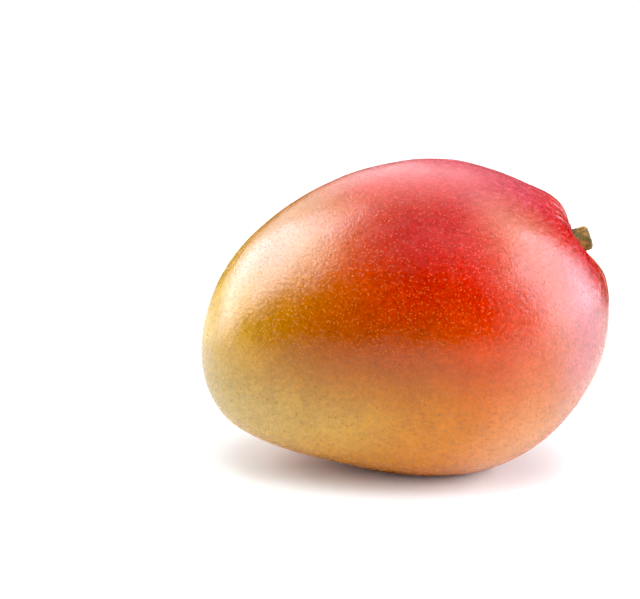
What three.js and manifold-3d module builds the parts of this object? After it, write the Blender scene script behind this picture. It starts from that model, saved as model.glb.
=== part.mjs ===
// A whole ripe mango lying on a table, with the short woody stub of its stem.
//
// Millimetres, +Z up. +X runs along the fruit to its stem end, and +Y across its two cheeks.
// The origin is under the middle of the fruit, on the surface that it lies on.
//
// The fruit is one solid. Its skin is a formula on the unit sphere: each direction n out of the
// fruit's middle gives one point of the skin. The stub is a second solid. It stands in a pit of
// its own shape at the bottom of the stem cavity.

import * as THREE from 'three';
import { mergeVertices } from 'three/addons/utils/BufferGeometryUtils.js';
import Module from 'manifold-3d';

const DEGREE = Math.PI / 180;

// ---------------------------------------------------------------- driving dimensions

// The body of the fruit, before any hollow or shoulder.
const LENGTH = 120;              // apex to stem end
const CHEEK_WIDTH = 88;          // cheek to cheek, at mid length
const DEPTH = 92;                // belly to back, at mid length
const CHEEK_TAPER = 0.2;         // how much wider than that the stem end would be
const DEPTH_TAPER = 0.155;       // the same from belly to back
const BELLY_TAPER = 0.04;        // added to it in the belly, taken from it in the back
const END_ROUNDING = 0.15;       // how much the taper is drawn in again towards both ends
const ARCH = 7.5;                // how far the middle bows up between the two ends
const ARCH_TO_APEX = 2.8;        // how far the bow's top leans to the apex
const STEM_END_LEAN = 7.5;       // how far the top of the stem end leans out past its belly

// Where the stem grows out, as a direction from the fruit's middle.
const STEM_RISE = 32 * DEGREE;   // up from the fruit's own axis
const STEM_TURN = 2.7 * DEGREE;  // towards the far cheek

// Hollows and shoulders round the stem. Distances are measured over the skin, turns are
// round the stem from straight up towards the far cheek, and a reach is where a rounded
// form has fallen to about a third of its height.
const SKIN_RADIUS = 50;          // turns an angle into a distance over the skin
const CAVITY_DEPTH = 3.5;        // the hollow that the stem stands in
const CAVITY_REACH = 8.5;
const BACK_SHOULDER = { height: 2.6, away: 9.5, turn: 10 * DEGREE, reach: 8.4 };
const FRONT_SHOULDER = { height: 1.5, away: 13.3, turn: 165 * DEGREE, reach: 9 };
const VALLEY_DEPTH = 1;          // a shallow valley from the cavity over the back
const VALLEY_REACH = 6.5;
const VALLEY_LENGTH = 45;
const VALLEY_TURN = -40 * DEGREE;
const VALLEY_START = 4;          // where it begins to open, from the stem
const VALLEY_START_BLEND = 2.5;

// How it lies.
const LYING_TILT = 5 * DEGREE;   // the stem end is raised by this
const FLAT_SPOT_SAG = 1.7;       // the belly is pressed flat this far above its lowest point

// The stem stub: a short thick plug, bent down from the way that the stem grew.
const STUB_LENGTH = 6.4;
const STUB_SUNK = 1.6;           // how much of it is below the cavity's floor
const STUB_RAISED = 0.6;         // how far its foot is up the back from the cavity's middle
const STUB_BEND = 19 * DEGREE;   // how far it is bent down
const STUB_RADIUS = 3.45;
const STUB_FLARE = 0.3;          // how much wider its foot is
const STUB_RIDGES = 5;
const STUB_RIDGE_HEIGHT = 0.16;
const STUB_RIDGE_TWIST = 0.8;    // radians that the ridges turn on their way up
const STUB_END_ROUNDING = 0.8;   // how far its rim is worn in at the cut end
const STUB_CUT_DISH = 0.4;       // how far the cut end is sunk in its middle
const STUB_GAP = 0.3;            // clear space between the stub and its pit

// Facets.
const SKIN_RINGS = 44;
const SKIN_SEGMENTS = 72;
const SKIN_RING_CROWDING = 1.3;  // above 1 the rings crowd towards the stem
const STUB_RINGS = 7;
const STUB_SEGMENTS = 30;

// ---------------------------------------------------------------- directions on the fruit

const stemAxis = new THREE.Vector3(
  Math.cos(STEM_RISE) * Math.cos(STEM_TURN),
  Math.cos(STEM_RISE) * Math.sin(STEM_TURN),
  Math.sin(STEM_RISE),
);

// The two directions square to the stem: towards the far cheek, and up the back.
const stemAcross = new THREE.Vector3(0, 1, 0).addScaledVector(stemAxis, -stemAxis.y).normalize();
const stemUp = new THREE.Vector3().crossVectors(stemAxis, stemAcross).normalize();

// The direction at a distance from the stem over the skin, at a turn round the stem.
function besideStem(away, turn) {
  const angle = away / SKIN_RADIUS;
  return new THREE.Vector3()
    .addScaledVector(stemAxis, Math.cos(angle))
    .addScaledVector(stemUp, Math.sin(angle) * Math.cos(turn))
    .addScaledVector(stemAcross, Math.sin(angle) * Math.sin(turn));
}

const valleyRun = besideStem(SKIN_RADIUS * Math.PI / 2, VALLEY_TURN);
const valleySide = new THREE.Vector3().crossVectors(stemAxis, valleyRun);

// ---------------------------------------------------------------- the skin

// The smooth egg-shaped body.
function bodyPoint(n) {
  const ends = 1 - n.x * n.x;
  const rounding = END_ROUNDING * n.x ** 3;
  const depthTaper = DEPTH_TAPER - BELLY_TAPER * n.z;
  return new THREE.Vector3(
    LENGTH / 2 * n.x + STEM_END_LEAN * n.z * (1 + n.x) / 2,
    CHEEK_WIDTH / 2 * n.y * (1 + CHEEK_TAPER * n.x - rounding),
    DEPTH / 2 * n.z * (1 + depthTaper * n.x - rounding) + (ARCH - ARCH_TO_APEX * n.x) * ends,
  );
}

// A rounded form round the direction c: 1 at its middle, falling off at its reach.
function mound(n, c, reach) {
  const away = SKIN_RADIUS * Math.acos(THREE.MathUtils.clamp(n.dot(c), -1, 1));
  return Math.exp(-((away / reach) ** 2));
}

// How far the valley is open at n: it starts beside the stem and fades over the back.
function valley(n) {
  const run = SKIN_RADIUS * Math.atan2(n.dot(valleyRun), n.dot(stemAxis));
  const side = SKIN_RADIUS * Math.asin(n.dot(valleySide));
  const opening = 1 / (1 + Math.exp((VALLEY_START - run) / VALLEY_START_BLEND));
  const fading = Math.exp(-((Math.max(run, 0) / VALLEY_LENGTH) ** 2));
  return Math.exp(-((side / VALLEY_REACH) ** 2)) * opening * fading;
}

function shoulder(n, { height, away, turn, reach }) {
  return height * mound(n, besideStem(away, turn), reach);
}

function skinPoint(n) {
  const relief = shoulder(n, BACK_SHOULDER) + shoulder(n, FRONT_SHOULDER)
    - CAVITY_DEPTH * mound(n, stemAxis, CAVITY_REACH) - VALLEY_DEPTH * valley(n);
  return bodyPoint(n).addScaledVector(n, relief);
}

// ---------------------------------------------------------------- solids

// A three.js geometry with its shared corners merged, its points moved by the function place.
function shaped(source, place) {
  source.deleteAttribute('normal');
  source.deleteAttribute('uv');
  const geometry = mergeVertices(source, 1e-5);
  const position = geometry.attributes.position;
  const point = new THREE.Vector3();
  for (let i = 0; i < position.count; i += 1) {
    const moved = place(point.fromBufferAttribute(position, i));
    position.setXYZ(i, moved.x, moved.y, moved.z);
  }
  return geometry;
}

// Turns +Y, the pole of a sphere and the axis of a cylinder, to the stem, and +X up the back.
const toStem = new THREE.Quaternion().setFromRotationMatrix(
  new THREE.Matrix4().makeBasis(stemUp, stemAxis, stemAcross),
);

const lying = new THREE.Quaternion().setFromAxisAngle(new THREE.Vector3(0, 1, 0), -LYING_TILT);

function skinGeometry() {
  const sphere = new THREE.SphereGeometry(1, SKIN_SEGMENTS, SKIN_RINGS);
  return shaped(sphere, (p) => {
    const around = Math.atan2(p.z, p.x);
    const share = Math.acos(THREE.MathUtils.clamp(p.y, -1, 1)) / Math.PI;
    const polar = Math.PI * share ** SKIN_RING_CROWDING;
    const n = new THREE.Vector3(
      Math.sin(polar) * Math.cos(around),
      Math.cos(polar),
      Math.sin(polar) * Math.sin(around),
    );
    return skinPoint(n.applyQuaternion(toStem)).applyQuaternion(lying);
  });
}

const stubBend = new THREE.Quaternion().setFromAxisAngle(stemAcross, STUB_BEND);

// The stub, or with a gap above 0 the pit that it stands in.
function stubGeometry(gap) {
  const cylinder = new THREE.CylinderGeometry(1, 1, 1, STUB_SEGMENTS, STUB_RINGS);
  const foot = skinPoint(stemAxis).addScaledVector(stemUp, STUB_RAISED);
  return shaped(cylinder, (p) => {
    const along = p.y + 0.5;
    const out = Math.hypot(p.x, p.z);
    const around = Math.atan2(p.z, p.x);
    const atCut = along > 1 - 0.5 / STUB_RINGS;
    const ridge = STUB_RIDGE_HEIGHT * Math.cos(STUB_RIDGES * around + STUB_RIDGE_TWIST * along);
    const side = STUB_RADIUS + ridge + STUB_FLARE * (1 - along) ** 2 + gap;
    const radius = (side - (atCut ? STUB_END_ROUNDING : 0)) * out;
    const dish = atCut ? STUB_CUT_DISH * (1 - out) : 0;
    const height = (STUB_LENGTH + gap) * along - gap - dish - STUB_SUNK;
    const local = new THREE.Vector3(radius * Math.cos(around), height, radius * Math.sin(around));
    return local.applyQuaternion(toStem).applyQuaternion(stubBend).add(foot)
      .applyQuaternion(lying);
  });
}

const wasm = await Module();
wasm.setup();

function toSolid(geometry) {
  return new wasm.Manifold(new wasm.Mesh({
    numProp: 3,
    vertProperties: Float32Array.from(geometry.attributes.position.array),
    triVerts: Uint32Array.from(geometry.index.array),
  }));
}

function toGeometry(solid) {
  const mesh = solid.getMesh();
  const geometry = new THREE.BufferGeometry();
  geometry.setAttribute('position', new THREE.BufferAttribute(mesh.vertProperties, 3));
  geometry.setIndex(new THREE.BufferAttribute(mesh.triVerts, 1));
  geometry.computeVertexNormals();
  return geometry;
}

// Presses the belly flat where the fruit lies, and brings that flat spot to z = 0.
function layDown(geometry) {
  geometry.computeBoundingBox();
  const spot = geometry.boundingBox.min.z + FLAT_SPOT_SAG;
  const position = geometry.attributes.position;
  for (let i = 0; i < position.count; i += 1) {
    position.setZ(i, Math.max(position.getZ(i), spot));
  }
  geometry.computeBoundingBox();
  return geometry;
}

// ---------------------------------------------------------------- the mango

const skin = layDown(skinGeometry());
const middle = skin.boundingBox.getCenter(new THREE.Vector3());
const pit = toSolid(stubGeometry(STUB_GAP));

const fruit = new THREE.Mesh(
  toGeometry(toSolid(skin).subtract(pit)),
  new THREE.MeshStandardMaterial({ color: 0xd2532a, roughness: 0.42, metalness: 0 }),
);
fruit.name = 'fruit';

const stub = new THREE.Mesh(
  stubGeometry(0),
  new THREE.MeshStandardMaterial({ color: 0x7c6435, roughness: 0.85, metalness: 0 }),
);
stub.name = 'stem_stub';

const mango = new THREE.Group();
mango.add(fruit, stub);
mango.position.set(-middle.x, -middle.y, -skin.boundingBox.min.z);

export default mango;
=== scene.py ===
"""A whole ripe mango on a white table: its skin, its lenticels, its stem stub and a soft studio.

The fruit's form is the same formula and the same sizes as in its CAD part, on a finer grid and
with the small relief that the part leaves out. Sizes are in millimetres until a mesh is made.
"""

import math

import bpy
import numpy as np
from mathutils import Matrix, Vector


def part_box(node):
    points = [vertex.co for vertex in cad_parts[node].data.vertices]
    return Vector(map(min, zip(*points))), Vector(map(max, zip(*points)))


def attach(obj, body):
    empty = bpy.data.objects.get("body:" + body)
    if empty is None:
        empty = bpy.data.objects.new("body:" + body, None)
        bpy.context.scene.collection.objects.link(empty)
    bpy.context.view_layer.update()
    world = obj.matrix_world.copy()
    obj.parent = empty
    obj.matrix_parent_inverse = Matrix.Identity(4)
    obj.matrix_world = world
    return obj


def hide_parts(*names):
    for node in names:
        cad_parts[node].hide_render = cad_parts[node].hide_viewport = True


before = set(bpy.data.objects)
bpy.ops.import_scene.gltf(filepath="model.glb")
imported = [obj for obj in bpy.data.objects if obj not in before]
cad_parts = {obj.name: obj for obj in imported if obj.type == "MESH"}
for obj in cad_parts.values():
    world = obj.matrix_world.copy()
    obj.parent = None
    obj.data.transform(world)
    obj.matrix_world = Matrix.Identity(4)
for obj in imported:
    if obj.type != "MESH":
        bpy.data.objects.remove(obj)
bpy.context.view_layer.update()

MM = 0.001
BODY = "root"


# ---------------------------------------------------------------- the fruit's form, in mm

LENGTH = 120.0                   # apex to stem end
CHEEK_WIDTH = 88.0               # cheek to cheek, at mid length
DEPTH = 92.0                     # belly to back, at mid length
CHEEK_TAPER = 0.2                # how much wider than that the stem end would be
DEPTH_TAPER = 0.155              # the same from belly to back
BELLY_TAPER = 0.04               # added to it in the belly, taken from it in the back
END_ROUNDING = 0.15              # how much the taper is drawn in again towards both ends
ARCH = 7.5                       # how far the middle bows up between the two ends
ARCH_TO_APEX = 2.8               # how far the bow's top leans to the apex
STEM_END_LEAN = 7.5              # how far the top of the stem end leans out past its belly

STEM_RISE = math.radians(32)     # up from the fruit's own axis
STEM_TURN = math.radians(2.7)    # towards the far cheek

SKIN_RADIUS = 50.0               # turns an angle into a distance over the skin
CAVITY_DEPTH = 3.5
CAVITY_REACH = 8.5
BACK_SHOULDER = dict(height=2.6, away=9.5, turn=math.radians(10), reach=8.4)
FRONT_SHOULDER = dict(height=1.5, away=13.3, turn=math.radians(165), reach=9.0)
VALLEY_DEPTH = 1.0
VALLEY_REACH = 6.5
VALLEY_LENGTH = 45.0
VALLEY_TURN = math.radians(-40)
VALLEY_START = 4.0
VALLEY_START_BLEND = 2.5

LYING_TILT = math.radians(5)     # the stem end is raised by this
FLAT_SPOT_SAG = 1.7              # the belly is pressed flat this far above its lowest point
FLAT_SPOT_BLEND = 0.2            # how softly the skin runs into the flat spot

STUB_LENGTH = 6.4
STUB_SUNK = 1.6                  # how much of it is below the cavity's floor
STUB_RAISED = 0.6                # how far its foot is up the back from the cavity's middle
STUB_BEND = math.radians(19)     # how far it is bent down
STUB_RADIUS = 3.45
STUB_FLARE = 0.3
STUB_RIDGES = 5
STUB_RIDGE_HEIGHT = 0.16
STUB_RIDGE_TWIST = 0.8
STUB_END_ROUNDING = 0.8
STUB_CUT_DISH = 0.4

# What the fine skin adds: long soft undulations, creases that run to the stem, and the lip
# of the pit that the stub stands in.
UNDULATION_WAVES = 24
UNDULATION_LENGTHS = (9.0, 26.0)
UNDULATION_HEIGHT = 0.05
CREASE_COUNTS = (9, 46)          # how many creases go round the stem, from and to
CREASE_WAVES = 16
CREASE_HEIGHT = 0.07
CREASE_AWAY = 15.0               # the creases are deepest this far from the stem
CREASE_REACH = 12.0
CREASE_DRIFT = 9.0               # how far from the stem a crease has wandered by a radian
CALM_ROUND_STEM = (4.0, 12.0)    # from the stem, where the undulations are gone and full
PIT_CLEARANCE = 0.25
PIT_WALL = (-0.5, 0.3)           # the pit's wall, from inside its edge to outside it
PIT_REACH = 8.0                  # along the stub, past which the skin isn't touched
LIP_HEIGHT = 0.35
LIP_AWAY = 0.9                   # the lip's crest, from the pit's edge
LIP_WIDTH = 0.7

SKIN_RINGS = 280
SKIN_SEGMENTS = 340
SKIN_RING_CROWDING = 1.3

ANY_PHASE = (0, 7)               # radians, a little over a full turn
STEEPEST = 50                    # keeps an exponential within a float's range
RELIEF_SEED = 7

rng = np.random.default_rng(RELIEF_SEED)


def unit(v):
    v = np.asarray(v, float)
    return v / np.linalg.norm(v)


stem_axis = np.array([
    math.cos(STEM_RISE) * math.cos(STEM_TURN),
    math.cos(STEM_RISE) * math.sin(STEM_TURN),
    math.sin(STEM_RISE),
])
stem_across = unit(np.array([0.0, 1.0, 0.0]) - stem_axis[1] * stem_axis)
stem_up = np.cross(stem_axis, stem_across)


def beside_stem(away, turn):
    """The direction at a distance from the stem over the skin, at a turn round the stem."""
    angle = away / SKIN_RADIUS
    sideways = math.cos(turn) * stem_up + math.sin(turn) * stem_across
    return math.cos(angle) * stem_axis + math.sin(angle) * sideways


valley_run = beside_stem(SKIN_RADIUS * math.pi / 2, VALLEY_TURN)
valley_side = np.cross(stem_axis, valley_run)


def body_points(n):
    """The smooth egg-shaped body at the directions n, an array of unit vectors."""
    x, y, z = n[:, 0], n[:, 1], n[:, 2]
    rounding = END_ROUNDING * x**3
    depth_taper = DEPTH_TAPER - BELLY_TAPER * z
    return np.stack([
        LENGTH / 2 * x + STEM_END_LEAN * z * (1 + x) / 2,
        CHEEK_WIDTH / 2 * y * (1 + CHEEK_TAPER * x - rounding),
        DEPTH / 2 * z * (1 + depth_taper * x - rounding) + (ARCH - ARCH_TO_APEX * x) * (1 - x * x),
    ], axis=1)


def away_from(n, centre):
    """How far the directions n are from the direction centre, over the skin."""
    return SKIN_RADIUS * np.arccos(np.clip(n @ centre, -1, 1))


def mound(n, centre, reach):
    return np.exp(-((away_from(n, centre) / reach) ** 2))


def valley(n):
    run = SKIN_RADIUS * np.arctan2(n @ valley_run, n @ stem_axis)
    side = SKIN_RADIUS * np.arcsin(np.clip(n @ valley_side, -1, 1))
    before_start = np.clip((VALLEY_START - run) / VALLEY_START_BLEND, -STEEPEST, STEEPEST)
    opening = 1 / (1 + np.exp(before_start))
    fading = np.exp(-((np.maximum(run, 0) / VALLEY_LENGTH) ** 2))
    return np.exp(-((side / VALLEY_REACH) ** 2)) * opening * fading


def shoulder(n, height, away, turn, reach):
    return height * mound(n, beside_stem(away, turn), reach)


def around_stem(n):
    """The turn round the stem of the directions n, from straight up."""
    return np.arctan2(n @ stem_across, n @ stem_up)


def undulations(points):
    """Soft swells of the skin: a sum of waves in random directions."""
    total = np.zeros(len(points))
    for _ in range(UNDULATION_WAVES):
        direction = unit(rng.normal(size=3))
        wavelength = rng.uniform(*UNDULATION_LENGTHS)
        phase = rng.uniform(*ANY_PHASE)
        total += np.sin(2 * math.pi * (points @ direction) / wavelength + phase)
    return UNDULATION_HEIGHT * total / math.sqrt(UNDULATION_WAVES / 2)


def creases(n):
    """Fine creases that run to the stem over both shoulders."""
    turn, away = around_stem(n), away_from(n, stem_axis)
    total = np.zeros(len(n))
    for _ in range(CREASE_WAVES):
        count = rng.integers(*CREASE_COUNTS)
        phase = rng.uniform(*ANY_PHASE)
        total += np.sin(count * turn + phase + rng.normal() * away / CREASE_DRIFT)
    depth = np.exp(-(((away - CREASE_AWAY) / CREASE_REACH) ** 2))
    return CREASE_HEIGHT * depth * total / math.sqrt(CREASE_WAVES / 2)


def coarse_relief(n):
    """The hollows and shoulders that the CAD solid has too."""
    return (
        shoulder(n, **BACK_SHOULDER)
        + shoulder(n, **FRONT_SHOULDER)
        - CAVITY_DEPTH * mound(n, stem_axis, CAVITY_REACH)
        - VALLEY_DEPTH * valley(n)
    )


def turned(points, axis, angle):
    """The points turned by an angle round an axis through the origin."""
    turn = np.array(Matrix.Rotation(angle, 3, Vector(axis)))
    return points @ turn.T


def lying(points):
    return turned(points, (0, 1, 0), -LYING_TILT)


def skin_points(n):
    return body_points(n) + coarse_relief(n)[:, None] * n


stub_foot = skin_points(stem_axis[None])[0] + STUB_RAISED * stem_up
stub_axis = turned(stem_axis, stem_across, STUB_BEND)
stub_up = turned(stem_up, stem_across, STUB_BEND)


def smooth_step(low, high, value):
    t = np.clip((value - low) / (high - low), 0, 1)
    return t * t * (3 - 2 * t)


def round_the_stub(points):
    """Opens the pit under the stub and raises a small lip of skin round it."""
    from_foot = points - stub_foot
    height = from_foot @ stub_axis
    off = np.linalg.norm(from_foot - height[:, None] * stub_axis, axis=1)
    near = np.exp(-((height / PIT_REACH) ** 2))
    off_edge = off - (STUB_RADIUS + STUB_RIDGE_HEIGHT + PIT_CLEARANCE)
    sunk = STUB_SUNK * (1 - smooth_step(*PIT_WALL, off_edge))
    lip = LIP_HEIGHT * np.exp(-(((off_edge - LIP_AWAY) / LIP_WIDTH) ** 2))
    return points + ((lip - sunk) * near)[:, None] * stub_axis


def sphere_grid(rings, segments):
    """Directions in rings round the stem, closer together near it, with one point at each pole."""
    polar = math.pi * np.linspace(0, 1, rings + 1)[1:-1] ** SKIN_RING_CROWDING
    turn = 2 * math.pi * np.arange(segments) / segments
    p, t = (a.reshape(-1, 1) for a in np.meshgrid(polar, turn, indexing="ij"))
    sideways = np.cos(t) * stem_up + np.sin(t) * stem_across
    between = np.cos(p) * stem_axis + np.sin(p) * sideways
    return np.vstack([stem_axis, between, -stem_axis])


def grid_faces(rings, segments):
    """Faces of a grid of rings between two poles, all facing outwards."""
    faces = []
    last = 1 + (rings - 1) * segments
    for s in range(segments):
        following = (s + 1) % segments
        faces.append((0, 1 + following, 1 + s))
        faces.append((last, last - segments + s, last - segments + following))
        for r in range(rings - 2):
            a, b = 1 + r * segments, 1 + (r + 1) * segments
            faces.append((a + s, a + following, b + following, b + s))
    return faces


def make_piece(name, points, faces):
    """A smooth mesh object at the origin, from points in millimetres."""
    mesh = bpy.data.meshes.new(name)
    mesh.from_pydata((points * MM).tolist(), [], faces)
    mesh.polygons.foreach_set("use_smooth", np.ones(len(mesh.polygons), bool))
    mesh.update()
    piece = bpy.data.objects.new(name, mesh)
    bpy.context.scene.collection.objects.link(piece)
    return piece


def add_attribute(piece, name, values):
    attribute = piece.data.attributes.new(name, "FLOAT", "POINT")
    attribute.data.foreach_set("value", np.asarray(values, np.float32))


def press_flat(points):
    """Runs the belly softly into the flat spot that the fruit lies on."""
    spot = points[:, 2].min() + FLAT_SPOT_SAG
    above = (points[:, 2] - spot) / FLAT_SPOT_BLEND
    points[:, 2] = spot + FLAT_SPOT_BLEND * np.logaddexp(0, above)
    return points


def make_skin():
    """The fruit's skin, and the shift that took it from the formula's frame to the solids'."""
    n = sphere_grid(SKIN_RINGS, SKIN_SEGMENTS)
    smooth = skin_points(n)
    calm = smooth_step(*CALM_ROUND_STEM, away_from(n, stem_axis))
    fine = undulations(smooth) * calm + creases(n)
    points = press_flat(lying(round_the_stub(smooth + fine[:, None] * n)))
    low, high = (np.array(corner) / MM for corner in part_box("fruit"))
    shift = (low + high) / 2 - (points.min(0) + points.max(0)) / 2
    shift[2] = low[2] - points[:, 2].min()
    piece = make_piece("mango_skin", points + shift, grid_faces(SKIN_RINGS, SKIN_SEGMENTS))
    add_attribute(piece, "from_stem", away_from(n, stem_axis) * MM)
    return piece, shift


skin, shift = make_skin()
stem_foot = (lying(stub_foot[None])[0] + shift) * MM


# ---------------------------------------------------------------- the stem stub

STUB_PROFILE_ROWS = 46           # rows up its side
STUB_CUT_ROWS = 12               # rows from its rim to the middle of the cut
STUB_AROUND = 110
STUB_ROW_CROWDING = 1.1          # draws the rows together towards the foot
STUB_FOOT_SHARE = 0.55           # radius of the last row, as a share of the foot's
BARK_WAVES = 22
BARK_COUNTS = (4, 24)            # how many cracks go round the stub, from and to
BARK_CLIMBS = (-5.0, 5.0)        # how far a crack leans on its way up, in radians
BARK_FADING = 0.4                # how much a crack comes and goes on its way up
BARK_FADING_RATES = (4, 14)
BARK_SHARPNESS = 1.3
BARK_HEIGHT = 0.085
BARK_SCARS = 3.5                 # rings left by fallen bud scales, up its length
BARK_SCAR_HEIGHT = 0.06
BARK_SCAR_WAVER = 0.5            # radians that a scar ring wavers by, twice on its way round
CUT_GRAIN_WAVES = 9
CUT_GRAIN_COUNTS = (3, 19)
CUT_GRAIN_TWISTS = (2, 9)
CUT_GRAIN_HEIGHT = 0.045


def stub_rows():
    """How far up, how far out and how far worn each row is, from the cut's middle to the foot."""
    across = np.linspace(0, 1, STUB_CUT_ROWS + 2)[1:-1]
    cut = np.stack([1 + 0 * across, across, 1 + 0 * across], axis=1)
    up = np.linspace(1, 0, STUB_PROFILE_ROWS) ** STUB_ROW_CROWDING
    start = 1 - STUB_END_ROUNDING / STUB_LENGTH
    worn = np.clip((up - start) / (1 - start), 0, 1)
    side = np.stack([up, 1 + 0 * up, worn], axis=1)
    return np.vstack([cut, side, [[0, STUB_FOOT_SHARE, 0]]])


def bark(around, along):
    """Cracks and scars of the dry bark, in mm out from the stub's side."""
    total = np.zeros_like(around)
    for _ in range(BARK_WAVES):
        count, climb = rng.integers(*BARK_COUNTS), rng.uniform(*BARK_CLIMBS)
        wave = np.sin(count * around + climb * along + rng.uniform(*ANY_PHASE))
        rate, phase = rng.uniform(*BARK_FADING_RATES), rng.uniform(*ANY_PHASE)
        total += wave * (1 - BARK_FADING + BARK_FADING * np.sin(rate * along + phase))
    scars = np.sin(2 * math.pi * BARK_SCARS * along + BARK_SCAR_WAVER * np.sin(2 * around))
    cracked = BARK_HEIGHT * np.tanh(BARK_SHARPNESS * total / math.sqrt(BARK_WAVES / 2))
    return cracked + BARK_SCAR_HEIGHT * np.abs(scars)


def make_stub():
    """The stub with its cracked bark and its dished, fibrous cut end."""
    rows = stub_rows()
    turns = 2 * math.pi * np.arange(STUB_AROUND) / STUB_AROUND
    along, around = np.meshgrid(rows[:, 0], turns, indexing="ij")
    out, worn = (np.repeat(rows[:, i, None], STUB_AROUND, axis=1) for i in (1, 2))
    ridge = STUB_RIDGE_HEIGHT * np.cos(STUB_RIDGES * around + STUB_RIDGE_TWIST * along)
    side = STUB_RADIUS + ridge + STUB_FLARE * (1 - along) ** 2 + bark(around, along)
    radius = (side - STUB_END_ROUNDING * worn**2) * out
    on_cut = worn >= 1
    grain = np.zeros_like(around)
    for _ in range(CUT_GRAIN_WAVES):
        count, twist = rng.integers(*CUT_GRAIN_COUNTS), rng.uniform(*CUT_GRAIN_TWISTS)
        grain += np.sin(count * around + twist * out + rng.uniform(*ANY_PHASE))
    dish = STUB_CUT_DISH * (1 - out) - CUT_GRAIN_HEIGHT * grain * np.sqrt(out)
    height = STUB_LENGTH * along - STUB_SUNK - np.where(on_cut, dish, 0)
    points = (
        (radius * np.cos(around))[..., None] * stub_up
        + (radius * np.sin(around))[..., None] * stem_across
        + height[..., None] * stub_axis
    ).reshape(-1, 3)
    tip = (STUB_LENGTH - STUB_SUNK - STUB_CUT_DISH) * stub_axis
    foot = -STUB_SUNK * stub_axis
    points = lying(np.vstack([tip, points, foot]) + stub_foot) + shift
    piece = make_piece("stub", points, grid_faces(len(rows) + 1, STUB_AROUND))
    add_attribute(piece, "cut_end", np.concatenate([[1], on_cut.reshape(-1), [0]]))
    add_attribute(piece, "up_the_stub", np.concatenate([[1], along.reshape(-1), [0]]))
    return piece


stub = make_stub()


# ---------------------------------------------------------------- nodes and colours

SOFT_RAMP = {"interpolation_type": "SMOOTHSTEP"}
MIX_COLOURS = {"data_type": "RGBA"}
NOISE_SPAN = (0.3, 0.7)          # a noise seldom leaves this span
IOR = 1.45                       # of wax, cork, dry wood, laminate and card alike

# How many finer layers a noise has: with few it looks soft, with many crisp.
SOFT, EVEN, CRISP, CRISPEST = 1.0, 2.0, 3.0, 4.0


def linear(hex_colour):
    """An sRGB hex colour as linear RGBA."""
    parts = [int(hex_colour[i : i + 2], 16) / 255 for i in (1, 3, 5)]
    return [p / 12.92 if p <= 0.04045 else ((p + 0.055) / 1.055) ** 2.4 for p in parts] + [1.0]


def add(tree, kind, settings=None, inputs=None):
    """Adds a node. Its inputs are values, or sockets of other nodes that it is linked to."""
    node = tree.nodes.new(kind)
    for field, value in (settings or {}).items():
        setattr(node, field, value)
    for key, value in (inputs or {}).items():
        if isinstance(value, bpy.types.NodeSocket):
            tree.links.new(value, node.inputs[key])
        else:
            node.inputs[key].default_value = value
    return node


def new_material(name):
    material = bpy.data.materials.new(name)
    material.use_nodes = True
    material.node_tree.nodes.clear()
    return material, material.node_tree


def finish_material(tree, colour, roughness, normal=None):
    """Ends a material in its shader. None of the real ones is metal or lets light through."""
    looks = {"Base Color": colour, "Roughness": roughness, "IOR": IOR}
    if normal is not None:
        looks["Normal"] = normal
    shader = add(tree, "ShaderNodeBsdfPrincipled", {}, looks)
    add(tree, "ShaderNodeOutputMaterial", {}, {"Surface": shader.outputs[0]})


def in_mm(tree):
    """The place on the fruit, in mm."""
    place = add(tree, "ShaderNodeTexCoord").outputs["Object"]
    return add(
        tree, "ShaderNodeVectorMath", {"operation": "SCALE"}, {0: place, "Scale": 1 / MM}
    ).outputs[0]


def patches(tree, place, size, low, high, detail=EVEN):
    """A value that drifts between low and high in soft patches of a size."""
    noise = add(
        tree, "ShaderNodeTexNoise", {}, {"Vector": place, "Scale": 1 / size, "Detail": detail}
    )
    return add(
        tree, "ShaderNodeMapRange", SOFT_RAMP,
        {0: noise.outputs[0], 1: NOISE_SPAN[0], 2: NOISE_SPAN[1], 3: low, 4: high},
    ).outputs[0]


def varied(tree, colour, place, size, depth, detail=EVEN):
    """The colour made darker and lighter in patches, by up to a depth each way."""
    factor = patches(tree, place, size, 1 - depth, 1 + depth, detail)
    return add(
        tree, "ShaderNodeVectorMath", {"operation": "SCALE"}, {0: colour, "Scale": factor}
    ).outputs[0]


def spots(tree, place, spacing, size, strength=1.0):
    """Round spots strewn through the rind. Its surface cuts them anywhere, so they differ."""
    cells = add(tree, "ShaderNodeTexVoronoi", {}, {"Vector": place, "Scale": 1 / spacing})
    full, gone = size
    return add(
        tree, "ShaderNodeMapRange", SOFT_RAMP,
        {0: cells.outputs["Distance"], 1: full, 2: gone, 3: strength, 4: 0.0},
    ).outputs[0]


def laid_over(tree, under, over, mask, span, shares=(0.0, 1.0), fading=None):
    """One colour over another. Its share goes from one value to another over a mask's span."""
    share = add(
        tree, "ShaderNodeMapRange", SOFT_RAMP,
        {0: mask, 1: span[0], 2: span[1], 3: shares[0], 4: shares[1]},
    ).outputs[0]
    if fading is not None:
        share = add(
            tree, "ShaderNodeMath", {"operation": "MULTIPLY"}, {0: share, 1: fading}
        ).outputs[0]
    return add(tree, "ShaderNodeMix", MIX_COLOURS, {0: share, 6: under, 7: over}).outputs[2]


# ---------------------------------------------------------------- the lenticels

LENTICEL_SPACING = 1.0           # no two are closer than this, in mm
LENTICEL_DENSITY = 0.62          # per square mm where they are densest
LENTICEL_SMALL, LENTICEL_LARGE = 0.1, 0.26     # radius, in mm
LENTICEL_HEIGHT = 0.06
LENTICEL_STRETCH = 1.4           # how much longer than wide they are beside the stem
LENTICEL_SEED = 5

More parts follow.
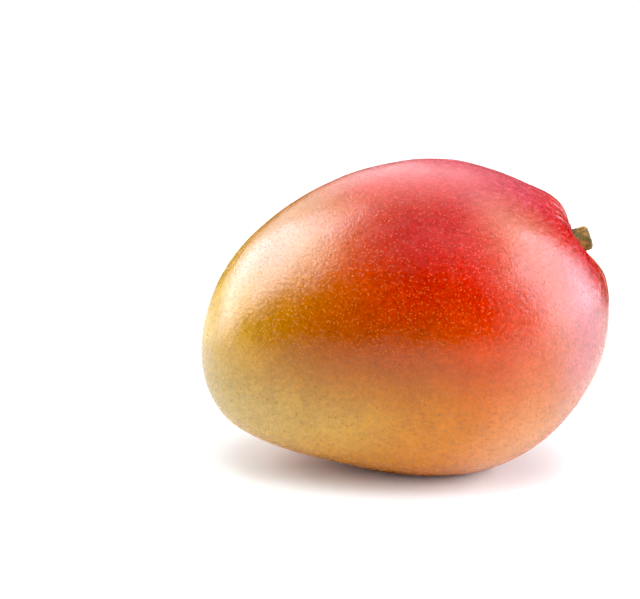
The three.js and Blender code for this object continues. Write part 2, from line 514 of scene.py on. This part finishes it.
# Where they are sparser or stretched, each from and to, in mm from the stem or above the table.
LENTICEL_STRETCHED = (12, 45)    # from fully stretched to round
LENTICEL_BARE_AT_STEM = (7, 14)  # from none to all
LENTICEL_CROWDING = (50, 100)    # from the stem end's share to all
LENTICEL_STEM_SHARE = 0.5
LENTICEL_BARE_BELOW = (0.6, 2.0)  # the pressed belly has none, and above it they are all there


def lenticel_tree(material):
    """Scatters low domes over a skin, closest at the apex, and stretched towards the stem."""
    tree = bpy.data.node_groups.new("lenticels on a mango", "GeometryNodeTree")
    tree.interface.new_socket("Geometry", in_out="INPUT", socket_type="NodeSocketGeometry")
    tree.interface.new_socket("Geometry", in_out="OUTPUT", socket_type="NodeSocketGeometry")
    inputs = {
        "Spacing": ("NodeSocketFloat", LENTICEL_SPACING * MM),
        "Density": ("NodeSocketFloat", LENTICEL_DENSITY / MM**2),
        "Smallest": ("NodeSocketFloat", LENTICEL_SMALL * MM),
        "Largest": ("NodeSocketFloat", LENTICEL_LARGE * MM),
        "Height": ("NodeSocketFloat", LENTICEL_HEIGHT * MM),
        "Stretch": ("NodeSocketFloat", LENTICEL_STRETCH),
        "Stem": ("NodeSocketVector", (0.0, 0.0, 0.0)),
        "Seed": ("NodeSocketInt", LENTICEL_SEED),
    }
    for name, (kind, value) in inputs.items():
        tree.interface.new_socket(name, in_out="INPUT", socket_type=kind).default_value = value
    given = add(tree, "NodeGroupInput").outputs
    share = add(tree, "GeometryNodeInputNamedAttribute", {}, {"Name": "lenticel_share"})
    scattered = add(
        tree, "GeometryNodeDistributePointsOnFaces", {"distribute_method": "POISSON"},
        {
            "Mesh": given["Geometry"],
            "Distance Min": given["Spacing"],
            "Density Max": given["Density"],
            "Density Factor": share.outputs["Attribute"],
            "Seed": given["Seed"],
        },
    )
    place = add(tree, "GeometryNodeInputPosition").outputs[0]
    to_stem = add(
        tree, "ShaderNodeVectorMath", {"operation": "SUBTRACT"}, {0: given["Stem"], 1: place}
    ).outputs[0]
    upright = add(
        tree, "FunctionNodeAlignRotationToVector", {"axis": "Z"},
        {"Vector": scattered.outputs["Normal"]},
    ).outputs[0]
    turned_to_stem = add(
        tree, "FunctionNodeAlignRotationToVector", {"axis": "X", "pivot_axis": "Z"},
        {"Rotation": upright, "Vector": to_stem},
    ).outputs[0]
    radius = add(
        tree, "FunctionNodeRandomValue", {"data_type": "FLOAT"},
        {2: given["Smallest"], 3: given["Largest"], "Seed": given["Seed"]},
    ).outputs[1]
    near = add(tree, "GeometryNodeInputNamedAttribute", {}, {"Name": "near_stem"})
    stretch = add(
        tree, "ShaderNodeMix", {"data_type": "FLOAT"},
        {0: near.outputs["Attribute"], 2: 1.0, 3: given["Stretch"]},
    ).outputs[0]
    length = add(tree, "ShaderNodeMath", {"operation": "MULTIPLY"}, {0: radius, 1: stretch})
    size = add(
        tree, "ShaderNodeCombineXYZ", {},
        {0: length.outputs[0], 1: radius, 2: given["Height"]},
    ).outputs[0]
    dome = add(tree, "GeometryNodeMeshIcoSphere", {}, {"Radius": 1.0, "Subdivisions": 1})
    smooth = add(tree, "GeometryNodeSetShadeSmooth", {}, {0: dome.outputs["Mesh"]})
    placed = add(
        tree, "GeometryNodeInstanceOnPoints", {},
        {
            "Points": scattered.outputs["Points"],
            "Instance": smooth.outputs[0],
            "Rotation": turned_to_stem,
            "Scale": size,
        },
    )
    real = add(tree, "GeometryNodeRealizeInstances", {}, {0: placed.outputs[0]})
    finished = add(
        tree, "GeometryNodeSetMaterial", {}, {"Geometry": real.outputs[0], "Material": material}
    )
    add(tree, "NodeGroupOutput", {}, {0: finished.outputs[0]})
    return tree


def make_lenticels(material):
    """The lenticels of the whole skin as one plain mesh."""
    ground = bpy.data.objects.new("lenticel_ground", skin.data.copy())
    bpy.context.scene.collection.objects.link(ground)
    modifier = ground.modifiers.new("lenticels", "NODES")
    modifier.node_group = lenticel_tree(material)
    for item in modifier.node_group.interface.items_tree:
        if item.item_type == "SOCKET" and item.name == "Stem":
            modifier[item.identifier] = tuple(stem_foot)
    seen = ground.evaluated_get(bpy.context.evaluated_depsgraph_get())
    mesh = bpy.data.meshes.new_from_object(seen)
    mesh.name = "lenticels"
    bpy.data.objects.remove(ground)
    piece = bpy.data.objects.new("lenticels", mesh)
    bpy.context.scene.collection.objects.link(piece)
    return piece


def attribute_values(piece, name):
    values = np.zeros(len(piece.data.vertices), np.float32)
    piece.data.attributes[name].data.foreach_get("value", values)
    return values


def vertex_heights(piece):
    """How high each vertex is above the table, in mm."""
    places = np.zeros(3 * len(piece.data.vertices), np.float32)
    piece.data.vertices.foreach_get("co", places)
    return places[2::3] / MM


away = attribute_values(skin, "from_stem") / MM
crowding = LENTICEL_STEM_SHARE + (1 - LENTICEL_STEM_SHARE) * smooth_step(*LENTICEL_CROWDING, away)
not_at_stem = smooth_step(*LENTICEL_BARE_AT_STEM, away)
not_below = smooth_step(*LENTICEL_BARE_BELOW, vertex_heights(skin))
add_attribute(skin, "near_stem", 1 - smooth_step(*LENTICEL_STRETCHED, away))
add_attribute(skin, "lenticel_share", crowding * not_at_stem * not_below)


# ---------------------------------------------------------------- the skin's colours

# Soft zones of the skin's colour, most of them what ripening gives it; the rose top is partly
# painted sheen and the tan haze partly painted reflection. Each has a middle and a reach along X,
# Y and Z in mm, and they are laid over the ground colour in this order.
GROUND_COLOUR = "#c36603"
ZONES = [
    ("golden far flank", (-24, 42, 26), (46, 36, 32), "#c98d2e"),
    ("blush on the far cheek", (12, 46, 62), (48, 36, 36), "#bb3406"),
    ("orange far shoulder", (46, 38, 62), (40, 36, 40), "#d8561e"),
    ("ochre apex", (-55, -5, 42), (72, 68, 58), "#edc439"),
    ("olive edge of the apex", (-57, -5, 25), (28, 30, 22), "#ad8a20"),
    # The tan haze is partly the skin's own tan and partly painted reflection: a pale greyish patch
    # standing in for the white table's gloss.
    ("tan and painted table reflection on the lower apex", (-43, -32, 25), (41, 71, 24), "#c0b981"),
    ("golden lower flank", (-21, -21, 32), (66, 43, 49), "#b47f18"),
    ("burnt orange middle", (-26, -55, 50), (87, 62, 32), "#954405"),
    ("scarlet cheek", (4, -31, 78), (65, 65, 52), "#b40505"),
    ("scarlet stem side", (29, -36, 66), (36, 24, 54), "#e12a05"),
    ("crimson shoulder", (33, -18, 82), (32, 77, 47), "#be0530"),
    ("red round the stem", (50, -11, 68), (34, 24, 43), "#da0505"),
    # The rose top is partly the skin's own pink blush and partly painted sheen: a paler pink
    # standing in for the grazing gloss along the top.
    ("rose top with painted sheen", (12, 1, 95), (67, 33, 24), "#d85d6c"),
    ("salmon stem end", (55, -31, 45), (24, 24, 44), "#d5767e"),
    ("peach belly", (28, -25, 33), (24, 24, 83), "#d6905d"),
    ("orange upper flank", (-42, -14, 74), (35, 25, 25), "#c39161"),
]
ZONE_WARP = 3.0                  # how far the zones' edges wander, in mm
ZONE_WARP_SIZE = 14.0            # and how long one such wander is

CLOUD_SIZE = 9.0                 # mm, pale and dark clouds under the skin
CLOUD_DEPTH = 0.05
MOTTLE_SIZE = 1.1                # mm, groups of cells that took up more or less red
MOTTLE_DEPTH = 0.12
BLUSH_GRAIN_SIZE = 0.6           # mm, fine grain of the blush
BLUSH_GRAIN_DEPTH = 0.11

STREAK_COUNT = 34.0              # streaks round the stem, as a noise scale on directions
STREAK_REACH = (16.0, 60.0)      # mm from the stem where they start to fade and end
STREAK_DARK_AT = (0.42, 0.7)     # of the noise, from no dark streak to its middle
STREAK_DARK_SHARE = 0.6
STREAK_DARKNESS = 0.55           # what is left of the skin's colour in a dark streak
STREAK_PAINTED_HIGHLIGHT = "#ee7f8a"          # painted highlight: pale pink streaks between the dark ones stand in for gloss on the fine creases
STREAK_PAINTED_HIGHLIGHT_AT = (0.3, 0.47)     # of the noise, from a pale streak's middle to none
STREAK_PAINTED_HIGHLIGHT_SHARE = 0.5

PORE_SPACING = 0.95              # mm, pores between the raised lenticels
PORE_SIZE = (0.08, 0.32)         # share of the spacing, from full to gone
PORE_HEIGHT = 0.05               # mm
PORE_CORK = "#ffb45a"
PORE_CORK_SHARE = 0.17
CORK_BRIGHTNESS = 1.15           # how much lighter than the skin round it any cork is
PORE_ROUGHNESS = 0.42            # cork is duller than the wax round it

SPECK_SPACING = 1.7              # mm, dark corky specks of the ripe underside
SPECK_SIZE = (0.12, 0.24)        # share of the spacing, from full to gone
SPECK_COLOUR = "#7a280c"
SPECK_SHARE = 0.75
SPECK_TOP = (22.0, 46.0)         # mm above the table where they are full and gone

WAX_PATCH = 4.0                  # mm, where the wax lies thicker or thinner
WAX_ROUGHNESS = (0.22, 0.31)
PEEL_SIZE = 1.1                  # mm, the orange-peel dimples of the rind
PEEL_DEPTH = 0.12                # mm
WRINKLE_DEPTH = 0.12             # mm, fine wrinkles that run to the stem
WRINKLE_COUNT = 14.0             # as a noise scale on directions
WRINKLE_REACH = (16.0, 52.0)     # mm from the stem where they start to fade and end

LENTICEL_PALE, LENTICEL_PINK = "#ffb040", "#ffb494"
LENTICEL_PINK_REACH = (15.0, 60.0)     # mm from the stem, from pink to pale
LENTICEL_CORK_SHARE = 0.16
LENTICEL_ROUGHNESS = 0.4


def round_the_stem(tree, place, reach):
    """How near the stem the place is, from 1 to 0 over a reach, and its direction from it."""
    away = add(
        tree, "ShaderNodeVectorMath", {"operation": "SUBTRACT"},
        {0: place, 1: tuple(stem_foot / MM)},
    ).outputs[0]
    distance = add(tree, "ShaderNodeVectorMath", {"operation": "LENGTH"}, {0: away})
    heading = add(tree, "ShaderNodeVectorMath", {"operation": "NORMALIZE"}, {0: away})
    nearness = add(
        tree, "ShaderNodeMapRange", SOFT_RAMP,
        {0: distance.outputs["Value"], 1: reach[0], 2: reach[1], 3: 1.0, 4: 0.0},
    )
    return nearness.outputs[0], heading.outputs[0]


def zone_colours(tree, place):
    """The skin's large soft zones, with edges that wander."""
    wander = add(
        tree, "ShaderNodeTexNoise", {},
        {"Vector": place, "Scale": 1 / ZONE_WARP_SIZE, "Detail": CRISP},
    ).outputs["Color"]
    shift = add(
        tree, "ShaderNodeVectorMath", {"operation": "MULTIPLY_ADD"},
        {0: wander, 1: (2 * ZONE_WARP,) * 3, 2: (-ZONE_WARP,) * 3},
    ).outputs[0]
    wandered = add(
        tree, "ShaderNodeVectorMath", {"operation": "ADD"}, {0: place, 1: shift}
    ).outputs[0]
    colour = linear(GROUND_COLOUR)
    for _, middle, reach, over in ZONES:
        inside = add(
            tree, "ShaderNodeMapping", {"vector_type": "TEXTURE"},
            {"Vector": wandered, "Location": middle, "Scale": reach},
        ).outputs[0]
        ball = add(tree, "ShaderNodeTexGradient", {"gradient_type": "SPHERICAL"}, {0: inside})
        colour = laid_over(tree, colour, linear(over), ball.outputs["Fac"], (0.0, 1.0))
    return colour


def skin_colours(tree, place):
    """The colour of the skin without its pores and grain: zones, clouds, mottle, dark streaks and
    painted highlight streaks.
    """
    colour = zone_colours(tree, place)
    colour = varied(tree, colour, place, CLOUD_SIZE, CLOUD_DEPTH)
    colour = varied(tree, colour, place, MOTTLE_SIZE, MOTTLE_DEPTH, CRISP)
    nearness, heading = round_the_stem(tree, place, STREAK_REACH)
    streaks = add(
        tree, "ShaderNodeTexNoise", {},
        {"Vector": heading, "Scale": STREAK_COUNT, "Detail": EVEN},
    ).outputs[0]
    dark = add(
        tree, "ShaderNodeVectorMath", {"operation": "SCALE"},
        {0: colour, "Scale": STREAK_DARKNESS},
    ).outputs[0]
    shares = (0.0, STREAK_DARK_SHARE)
    colour = laid_over(tree, colour, dark, streaks, STREAK_DARK_AT, shares, nearness)
    # The pale pink streaks laid over next are painted highlights: they stand in for the gloss on
    # fine creases by the stem.
    shares = (STREAK_PAINTED_HIGHLIGHT_SHARE, 0.0)
    pale = linear(STREAK_PAINTED_HIGHLIGHT)
    return laid_over(tree, colour, pale, streaks, STREAK_PAINTED_HIGHLIGHT_AT, shares, nearness)


def corky(tree, colour, cork, share):
    """Cork in a skin of a colour: lighter than it, with a share of the cork's own colour."""
    lighter = add(
        tree, "ShaderNodeVectorMath", {"operation": "SCALE"},
        {0: colour, "Scale": CORK_BRIGHTNESS},
    ).outputs[0]
    return add(tree, "ShaderNodeMix", MIX_COLOURS, {0: share, 6: lighter, 7: cork}).outputs[2]


def skin_relief(tree, place, pores):
    """The height of the rind's dimples, wrinkles and pores, in depths of a dimple."""
    nearness, heading = round_the_stem(tree, place, WRINKLE_REACH)
    wrinkles = add(
        tree, "ShaderNodeTexNoise", {},
        {"Vector": heading, "Scale": WRINKLE_COUNT, "Detail": EVEN},
    ).outputs[0]
    wrinkles = add(
        tree, "ShaderNodeMath", {"operation": "MULTIPLY"}, {0: wrinkles, 1: nearness}
    ).outputs[0]
    relief = add(
        tree, "ShaderNodeTexNoise", {},
        {"Vector": place, "Scale": 1 / PEEL_SIZE, "Detail": CRISP},
    ).outputs[0]
    for raised, depth in ((wrinkles, WRINKLE_DEPTH), (pores, PORE_HEIGHT)):
        relief = add(
            tree, "ShaderNodeMath", {"operation": "MULTIPLY_ADD"},
            {0: raised, 1: depth / PEEL_DEPTH, 2: relief},
        ).outputs[0]
    return relief


# Mango skin is a thin tight rind under a layer of natural wax: a satin gloss, broad soft
# highlights and the faintest orange-peel texture.
skin_material, tree = new_material("waxy mango skin")
place = in_mm(tree)
colour = skin_colours(tree, place)
colour = varied(tree, colour, place, BLUSH_GRAIN_SIZE, BLUSH_GRAIN_DEPTH, SOFT)
pores = spots(tree, place, PORE_SPACING, PORE_SIZE)
cork = corky(tree, colour, linear(PORE_CORK), PORE_CORK_SHARE)
colour = add(tree, "ShaderNodeMix", MIX_COLOURS, {0: pores, 6: colour, 7: cork}).outputs[2]
height = add(tree, "ShaderNodeSeparateXYZ", {}, {0: place}).outputs["Z"]
low_down = add(
    tree, "ShaderNodeMapRange", SOFT_RAMP,
    {0: height, 1: SPECK_TOP[0], 2: SPECK_TOP[1], 3: SPECK_SHARE, 4: 0.0},
).outputs[0]
specks = spots(tree, place, SPECK_SPACING, SPECK_SIZE, low_down)
colour = add(
    tree, "ShaderNodeMix", MIX_COLOURS, {0: specks, 6: colour, 7: linear(SPECK_COLOUR)}
).outputs[2]
bump = add(
    tree, "ShaderNodeBump", {},
    {"Strength": 1.0, "Distance": PEEL_DEPTH * MM, "Height": skin_relief(tree, place, pores)},
).outputs[0]
wax = patches(tree, place, WAX_PATCH, *WAX_ROUGHNESS)
roughness = add(
    tree, "ShaderNodeMix", {"data_type": "FLOAT"}, {0: pores, 2: wax, 3: PORE_ROUGHNESS}
).outputs[0]
finish_material(tree, colour, roughness, bump)
skin.data.materials.append(skin_material)

# Lenticels are the skin's breathing pores, plugged with pale cork: duller than the wax round
# them, straw coloured on the cheek and pinker where the fruit is red at the stem.
lenticel_material, tree = new_material("corky lenticels")
place = in_mm(tree)
nearness, _ = round_the_stem(tree, place, LENTICEL_PINK_REACH)
cork = add(
    tree, "ShaderNodeMix", MIX_COLOURS,
    {0: nearness, 6: linear(LENTICEL_PALE), 7: linear(LENTICEL_PINK)},
).outputs[2]
colour = corky(tree, skin_colours(tree, place), cork, LENTICEL_CORK_SHARE)
finish_material(tree, colour, LENTICEL_ROUGHNESS)
lenticels = make_lenticels(lenticel_material)


# ---------------------------------------------------------------- the stub's colours

# Each "at" is where a mask goes from the first of two shares to the second.
BARK_COLOUR = "#6f5f2c"
BARK_OCHRE, BARK_OCHRE_AT = "#b98a4a", (0.45, 0.62)
BARK_CRACK, BARK_CRACK_AT, BARK_CRACK_SHARES = "#33260f", (0.3, 0.5), (0.8, 0.0)
BARK_GREY, BARK_GREY_UP, BARK_GREY_SHARES = "#4b4a44", (0.2, 0.6), (0.7, 0.0)
CUT_COLOUR = "#c08443"
CUT_DARK, CUT_DARK_AT, CUT_DARK_SHARES = "#7c4a1e", (0.4, 0.65), (0.0, 0.8)
BARK_GRAIN = 0.55                # mm
BARK_PATCH = 2.2                 # mm
BARK_BUMP_DEPTH = 0.12           # mm
BARK_BUMP_STRENGTH = 0.6
BARK_ROUGHNESS = 0.72

# The stub is a mango's own wood: grey-olive bark cracked along its length, ochre where it has
# rubbed, and a pale fibrous cut with a darker pith. Dry, so nearly matt.
bark_material, tree = new_material("dry mango stem bark")
place = in_mm(tree)
patch, fine = (
    add(tree, "ShaderNodeTexNoise", {}, {"Vector": place, "Scale": 1 / size, "Detail": detail})
    .outputs[0]
    for size, detail in ((BARK_PATCH, CRISP), (BARK_GRAIN, CRISPEST))
)
up_the_stub, cut_end = (
    add(tree, "ShaderNodeAttribute", {"attribute_name": name}).outputs["Fac"]
    for name in ("up_the_stub", "cut_end")
)
colour = laid_over(tree, linear(BARK_COLOUR), linear(BARK_OCHRE), patch, BARK_OCHRE_AT)
colour = laid_over(tree, colour, linear(BARK_CRACK), fine, BARK_CRACK_AT, BARK_CRACK_SHARES)
colour = laid_over(tree, colour, linear(BARK_GREY), up_the_stub, BARK_GREY_UP, BARK_GREY_SHARES)
cut = laid_over(tree, linear(CUT_COLOUR), linear(CUT_DARK), fine, CUT_DARK_AT, CUT_DARK_SHARES)
colour = add(tree, "ShaderNodeMix", MIX_COLOURS, {0: cut_end, 6: colour, 7: cut}).outputs[2]
bump = add(
    tree, "ShaderNodeBump", {},
    {"Strength": BARK_BUMP_STRENGTH, "Distance": BARK_BUMP_DEPTH * MM, "Height": fine},
).outputs[0]
finish_material(tree, colour, BARK_ROUGHNESS, bump)
stub.data.materials.append(bark_material)


# ---------------------------------------------------------------- table, lights and camera

TABLE_HALF = 3.0                 # metres
TABLE_WHITE, TABLE_ROUGHNESS = "#f4f4f4", 0.6
CARD_LEFT, CARD_RIGHT = (-0.22, 0.34), (0.2, 0.15)     # where its ends stand, in metres
CARD_HEIGHT = 0.085
CARD_BLACK, CARD_ROUGHNESS = "#0a0a0a", 0.9


def flat_sheet(name, corners, material):
    """A flat thing that isn't part of the fruit, from its corners in metres."""
    mesh = bpy.data.meshes.new(name)
    mesh.from_pydata(corners, [], [range(len(corners))])
    mesh.materials.append(material)
    sheet = bpy.data.objects.new(name, mesh)
    bpy.context.scene.collection.objects.link(sheet)
    return sheet


# The table is a plain matt white laminate.
table_material, tree = new_material("matt white table")
finish_material(tree, linear(TABLE_WHITE), TABLE_ROUGHNESS)
corners = [(-TABLE_HALF, -TABLE_HALF), (TABLE_HALF, -TABLE_HALF)]
corners += [(x, -y) for x, y in reversed(corners)]
table = flat_sheet("table", [(x, y, 0) for x, y in corners], table_material)

# A low black card stands behind the fruit, as studios hide one to keep rims dark. Only the gloss
# shows it.
card_material, tree = new_material("matt black card")
finish_material(tree, linear(CARD_BLACK), CARD_ROUGHNESS)
low_edge = [(x, y, 0) for x, y in (CARD_LEFT, CARD_RIGHT)]
high_edge = [(x, y, CARD_HEIGHT) for x, y in (CARD_RIGHT, CARD_LEFT)]
card = flat_sheet("card", low_edge + high_edge, card_material)
card.visible_camera = card.visible_diffuse = card.visible_shadow = False

MIDDLE = Vector((0, 0, 0.045))   # of the fruit, in metres
WHITE_LIGHT, COOL_LIGHT, SHEEN_LIGHT = (1.0, 1.0, 1.0), (0.84, 1.0, 1.12), (0.98, 0.96, 1.14)
BACK, OVERHEAD, FRONT = (0.0, 0.56, 0.83), (0.0, -0.25, 1.0), (0.0, -0.9, 0.5)
LEFT, RIGHT = (-0.9, -0.15, 0.42), (0.9, -0.2, 0.32)

# Each softbox has a name, the way to it, its width and height in metres, its radiance, its roll
# in degrees and its colour. The sheens are seen in the gloss alone, and the fills leave none.
SHEENS = [
    ("left sheen", (-0.807, 0.341, 0.492), (0.9, 1.18), 8.7, -30, SHEEN_LIGHT),
    ("left rim", (-0.26, 0.88, 0.41), (0.75, 0.5), 1.8, 0, WHITE_LIGHT),
    ("right sheen", (0.99, 0.031, 0.16), (1.0, 1.7), 6.9, 19, SHEEN_LIGHT),
    ("upper right sheen", (0.532, 0.215, 0.819), (0.5, 0.45), 1.9, 0, WHITE_LIGHT),
    ("back sheen", BACK, (0.9, 0.9), 1.3, 20, WHITE_LIGHT),
]
FILLS = [
    ("back softbox", BACK, (0.9, 0.9), 3.6, 20, WHITE_LIGHT),
    ("overhead softbox", OVERHEAD, (0.9, 0.8), 4.0, 0, WHITE_LIGHT),
    ("front fill", FRONT, (1.4, 1.0), 0.5, 0, WHITE_LIGHT),
]
# These light the table alone and are a little cool, which keeps its shadow neutral.
TABLE_FILLS = [
    ("table overhead", OVERHEAD, (0.9, 0.8), 1.8, 0, COOL_LIGHT),
    ("table front", FRONT, (1.4, 1.0), 2.2, 0, COOL_LIGHT),
    ("table left", LEFT, (1.2, 1.0), 2.2, 0, COOL_LIGHT),
    ("table right", RIGHT, (1.2, 0.6), 7.5, 0, COOL_LIGHT),
]


def softbox(name, towards, size, radiance, roll, colour):
    """A softbox a metre away, facing the fruit."""
    data = bpy.data.lights.new(name, "AREA")
    data.color = colour
    data.shape = "RECTANGLE"
    data.size, data.size_y = size
    data.energy = radiance * size[0] * size[1] * math.pi
    light = bpy.data.objects.new(name, data)
    direction = Vector(towards).normalized()
    sideways = Vector((0, 0, 1)).cross(direction).normalized()
    upwards = direction.cross(sideways)
    facing = Matrix((sideways, upwards, direction)).transposed()
    turn = facing @ Matrix.Rotation(math.radians(roll), 3, "Z")
    light.matrix_world = Matrix.Translation(MIDDLE + direction) @ turn.to_4x4()
    bpy.context.scene.collection.objects.link(light)
    return light


only_the_table = bpy.data.collections.new("lit by the table lights")
only_the_table.objects.link(table)

for sheen in SHEENS:
    softbox(*sheen).visible_diffuse = False
for fill in FILLS:
    softbox(*fill).visible_glossy = False
for fill in TABLE_FILLS:
    light = softbox(*fill)
    light.visible_glossy = False
    light.light_linking.receiver_collection = only_the_table

WORLD_AXIS = unit((0.0, 0.2, 1.0))
WORLD_FROM, WORLD_TO = 0.05, 1.0
WORLD_DARK, WORLD_BRIGHT = 0.03, 0.6

world = bpy.data.worlds.new("studio")
bpy.context.scene.world = world
world.use_nodes = True
tree = world.node_tree
tree.nodes.clear()
direction = add(tree, "ShaderNodeTexCoord").outputs["Generated"]
height = add(
    tree, "ShaderNodeVectorMath", {"operation": "DOT_PRODUCT"},
    {0: direction, 1: tuple(WORLD_AXIS)},
).outputs["Value"]
strength = add(
    tree, "ShaderNodeMapRange", SOFT_RAMP,
    {0: height, 1: WORLD_FROM, 2: WORLD_TO, 3: WORLD_DARK, 4: WORLD_BRIGHT},
).outputs[0]
background = add(
    tree, "ShaderNodeBackground", {}, {"Color": (*WHITE_LIGHT, 1.0), "Strength": strength}
)
add(tree, "ShaderNodeOutputWorld", {}, {"Surface": background.outputs[0]})

# A studio print's black point: what is nearly black is black, which keeps the reds pure.
BLACK_POINT = 0.024

view = bpy.context.scene.view_settings
view.view_transform = "Standard"
view.use_curve_mapping = True
view.curve_mapping.black_level = (BLACK_POINT,) * 3
view.curve_mapping.update()

CAMERA_DISTANCE = 0.9
CAMERA_TURN, CAMERA_RISE = math.radians(-7.2), math.radians(17.0)
CAMERA_ROLL = math.radians(1.17)
CAMERA_AIM = (-0.0253, 0.0052)   # how far right and up of the middle it aims, in metres
SENSOR_WIDTH = 36.0
LENS = 172.5

back = Vector((
    math.sin(CAMERA_TURN) * math.cos(CAMERA_RISE),
    -math.cos(CAMERA_TURN) * math.cos(CAMERA_RISE),
    math.sin(CAMERA_RISE),
))
eye = MIDDLE + back * CAMERA_DISTANCE


def camera_axes(back):
    level = Vector((0, 0, 1)).cross(back).normalized()
    upright = back.cross(level)
    right = math.cos(CAMERA_ROLL) * level + math.sin(CAMERA_ROLL) * upright
    return right, back.cross(right)


right, up = camera_axes(back)
aim = MIDDLE + CAMERA_AIM[0] * right + CAMERA_AIM[1] * up
back = (eye - aim).normalized()
right, up = camera_axes(back)
camera_data = bpy.data.cameras.new("camera")
camera_data.sensor_width = SENSOR_WIDTH
camera_data.lens = LENS
camera = bpy.data.objects.new("camera", camera_data)
camera.matrix_world = Matrix.Translation(eye) @ Matrix((right, up, back)).transposed().to_4x4()
bpy.context.scene.collection.objects.link(camera)
bpy.context.scene.camera = camera


# ---------------------------------------------------------------- what each piece stands for

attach(skin, BODY)
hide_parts("fruit")

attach(lenticels, BODY)

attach(stub, BODY)
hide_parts("stem_stub")
